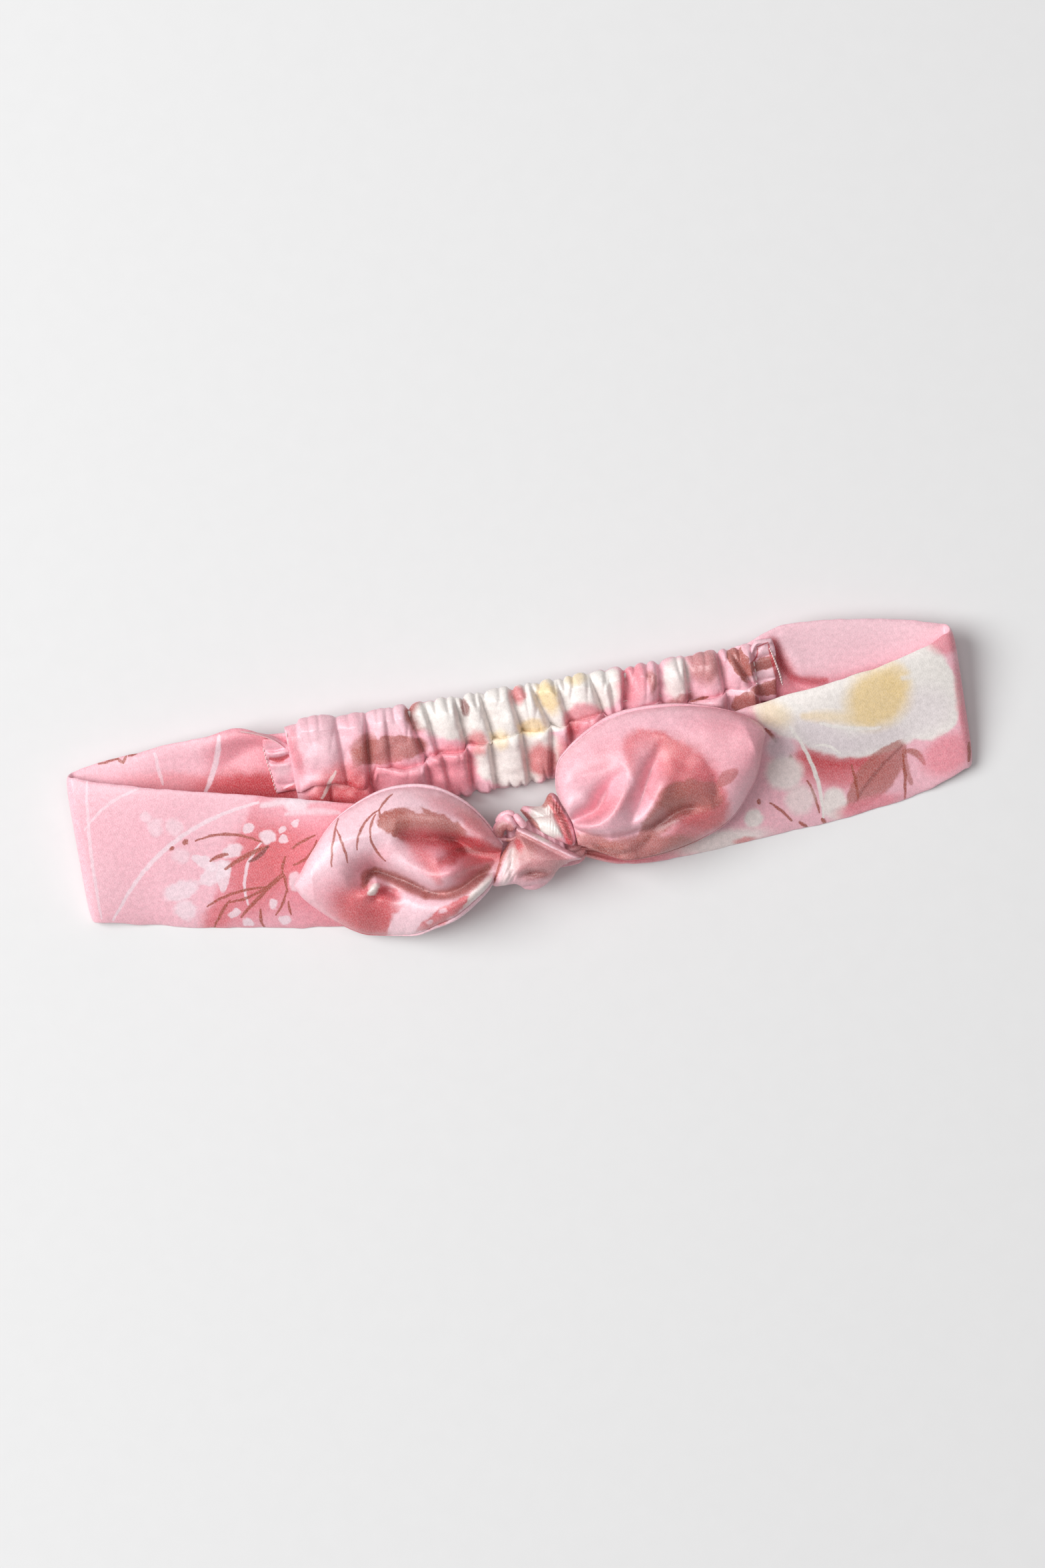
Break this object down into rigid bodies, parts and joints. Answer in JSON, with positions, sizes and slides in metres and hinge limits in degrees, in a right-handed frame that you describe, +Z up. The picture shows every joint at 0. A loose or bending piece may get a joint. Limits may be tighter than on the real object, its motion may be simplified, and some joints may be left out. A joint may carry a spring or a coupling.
{
  "type": "bow headband",
  "caption": "Satin hair band lying flat, its wide front band knotted with a leaf-eared bow and joined to a gathered elastic back.",
  "frame": {"origin": "centre of the bounding box in plan, on the surface the band lies on", "axes": "+X along the flattened loop, towards its right end; +Y from the bow to the elastic back; +Z up"},
  "size_m": [0.245, 0.0614, 0.0238],
  "materials": {
    "band_satin": "glossy satin, printed with large soft flowers",
    "casing_satin": "glossy satin, gathered, printed",
    "tie_satin": "glossy satin, printed",
    "elastic": "matt woven elastic",
    "thread": "polyester sewing thread"
  },
  "bodies": {
    "back": {"elastic_strip": "elastic", "elastic_casing": "casing_satin", "casing_seam": "thread", "left_folded_end": "band_satin", "right_folded_end": "band_satin", "left_join_allowance": "casing_satin", "right_join_allowance": "casing_satin", "left_join_stitches": "thread", "right_join_stitches": "thread"},
    "front": {"front_left_panel": "band_satin", "front_right_panel": "band_satin", "band_gather": "band_satin", "knot_loop": "tie_satin", "knot_front_wrap": "tie_satin", "knot_side_wrap": "tie_satin", "knot_tuck": "tie_satin"},
    "ear_left": {"ear_left_face": "tie_satin", "ear_left_back": "tie_satin"},
    "ear_right": {"ear_right_face": "tie_satin", "ear_right_back": "tie_satin"}
  },
  "joints": [
    {"name": "front_stand", "type": "hinge", "parent": "back", "child": "front", "pos_m": [0, -0.0285, 0], "axis": [1, 0, 0], "range_deg": [0, 60]},
    {"name": "ear_left_lift", "type": "hinge", "parent": "front", "child": "ear_left", "pos_m": [-0.0104, -0.016, 0.015], "axis": [0, 1, 0], "range_deg": [0, 60]},
    {"name": "ear_right_lift", "type": "hinge", "parent": "front", "child": "ear_right", "pos_m": [0.0124, -0.01, 0.015], "axis": [0.2419, -0.9703, 0], "range_deg": [0, 60]}
  ]
}
